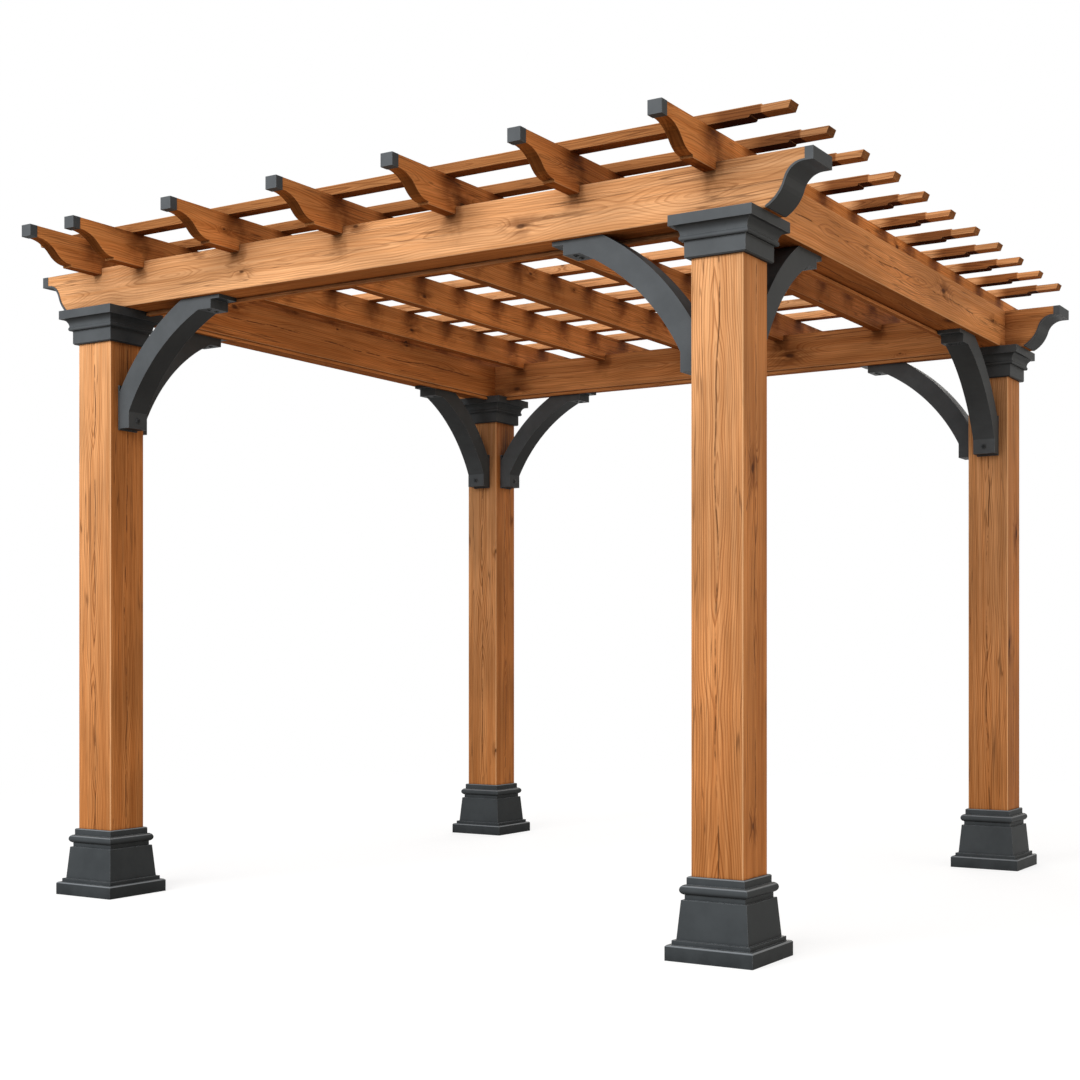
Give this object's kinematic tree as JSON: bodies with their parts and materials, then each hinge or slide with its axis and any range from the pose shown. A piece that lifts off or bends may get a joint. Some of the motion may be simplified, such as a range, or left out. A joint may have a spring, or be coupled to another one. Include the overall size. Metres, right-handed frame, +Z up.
{
  "type": "wooden pergola",
  "caption": "Free-standing square wooden pergola with scroll-cut rafters, a slatted open roof, curved knee braces, and dark moulded post bases and capitals.",
  "frame": {"origin": "on the ground, midway between the four posts", "axes": "+X along the front beam, +Y along the rafters to the back, +Z up"},
  "size_m": [3.106, 3.326, 2.419],
  "materials": {
    "stained_wood": "satin stain",
    "charcoal_trim": "satin powder coat"
  },
  "bodies": {
    "root": {"front_left_post": "stained_wood", "front_left_base": "charcoal_trim", "front_left_capital": "charcoal_trim", "front_left_brace_x": "charcoal_trim", "front_left_brace_y": "charcoal_trim", "front_right_post": "stained_wood", "front_right_base": "charcoal_trim", "front_right_capital": "charcoal_trim", "front_right_brace_x": "charcoal_trim", "front_right_brace_y": "charcoal_trim", "back_right_post": "stained_wood", "back_right_base": "charcoal_trim", "back_right_capital": "charcoal_trim", "back_right_brace_x": "charcoal_trim", "back_right_brace_y": "charcoal_trim", "back_left_post": "stained_wood", "back_left_base": "charcoal_trim", "back_left_capital": "charcoal_trim", "back_left_brace_x": "charcoal_trim", "back_left_brace_y": "charcoal_trim", "front_beam": "stained_wood", "back_beam": "stained_wood", "left_beam": "stained_wood", "right_beam": "stained_wood", "beam_soffits": "stained_wood", "beam_end_trims": "charcoal_trim", "rafter_1": "stained_wood", "rafter_2": "stained_wood", "rafter_3": "stained_wood", "rafter_4": "stained_wood", "rafter_5": "stained_wood", "rafter_6": "stained_wood", "rafter_7": "stained_wood", "rafter_caps": "charcoal_trim", "slat_1": "stained_wood", "slat_2": "stained_wood", "slat_3": "stained_wood", "slat_4": "stained_wood", "slat_5": "stained_wood", "slat_6": "stained_wood", "slat_7": "stained_wood", "slat_8": "stained_wood", "slat_9": "stained_wood", "slat_10": "stained_wood", "slat_11": "stained_wood"}
  },
  "joints": []
}
